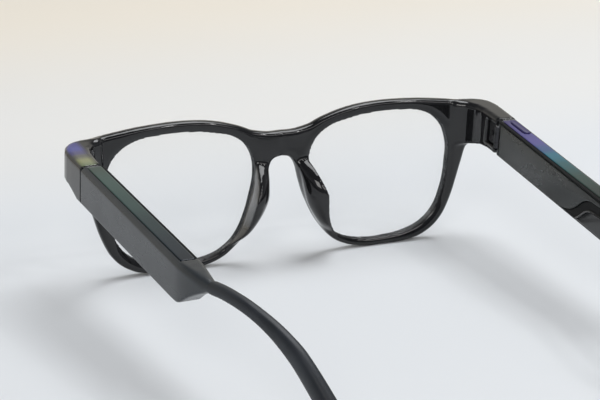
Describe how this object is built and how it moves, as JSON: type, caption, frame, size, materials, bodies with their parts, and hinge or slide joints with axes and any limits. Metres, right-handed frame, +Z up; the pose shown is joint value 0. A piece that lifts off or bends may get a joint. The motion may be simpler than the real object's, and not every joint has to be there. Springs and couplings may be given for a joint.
{
  "type": "smart glasses",
  "caption": "Audio smart glasses: thick glossy rectangular front with clear lenses, thick folding electronics temples, curved ear tips and a top control button.",
  "frame": {"origin": "on the table, under the middle of the overall box, glasses standing on the rims and ear tips with both temples open", "axes": "+Y from the lenses back to the ear tips, +X to the wearer's left, +Z up"},
  "size_m": [0.1474, 0.1685, 0.0487],
  "materials": {
    "front_black": "deep gloss, polished moulded plastic",
    "lens_clear": "clear, smooth",
    "shell_grey": "satin paint on moulded plastic",
    "cover_dark": "fine satin moulded plastic",
    "rear_gloss": "polished",
    "trim_iridescent": "interference lacquer that runs from violet to teal to green grey",
    "ear_tip": "soft matt",
    "steel": "fine machined",
    "gold": "gold plated",
    "board": "solder mask",
    "battery": "foil pouch",
    "module_black": "moulded",
    "mesh_dark": "blackened steel mesh"
  },
  "bodies": {
    "front": {"front_frame": "front_black", "lens_left": "lens_clear", "hinge_leaf_front_left": "steel", "hinge_pin_left": "steel", "leaf_screw_front_left": "steel", "lens_right": "lens_clear", "hinge_leaf_front_right": "steel", "hinge_pin_right": "steel", "leaf_screw_front_right": "steel"},
    "temple_left": {"temple_shell_left": "shell_grey", "inner_cover_left": "cover_dark", "rear_cover_left": "rear_gloss", "top_trim_left": "trim_iridescent", "earpiece_left": "ear_tip", "core_wire_left": "steel", "battery_left": "battery", "circuit_board_left": "board", "touch_sensor_left": "gold", "speaker_left": "module_black", "speaker_grille_left": "mesh_dark", "microphone_left": "module_black", "charge_contact_front_left": "gold", "charge_contact_rear_left": "gold", "hinge_leaf_temple_left": "steel", "leaf_screw_temple_left": "steel"},
    "temple_right": {"temple_shell_right": "shell_grey", "inner_cover_right": "cover_dark", "rear_cover_right": "rear_gloss", "top_trim_right": "trim_iridescent", "earpiece_right": "ear_tip", "core_wire_right": "steel", "battery_right": "battery", "circuit_board_right": "board", "touch_sensor_right": "gold", "speaker_right": "module_black", "speaker_grille_right": "mesh_dark", "microphone_right": "module_black", "charge_contact_front_right": "gold", "charge_contact_rear_right": "gold", "hinge_leaf_temple_right": "steel", "leaf_screw_temple_right": "steel", "tact_switch": "module_black"},
    "button": {"control_button": "front_black"}
  },
  "joints": [
    {"name": "temple_left_fold", "type": "hinge", "parent": "front", "child": "temple_left", "pos_m": [0.0668, -0.06104, 0.0384], "axis": [0, 0.0969, 0.9953], "range_deg": [0, 85]},
    {"name": "temple_right_fold", "type": "hinge", "parent": "front", "child": "temple_right", "pos_m": [-0.0668, -0.06104, 0.0384], "axis": [0, -0.0969, -0.9953], "range_deg": [0, 76]},
    {"name": "control_button_press", "type": "slide", "parent": "temple_right", "child": "button", "axis": [0, -0.0969, -0.9953], "range_m": [0, 0.0004], "stiffness_N_per_m": 400}
  ]
}
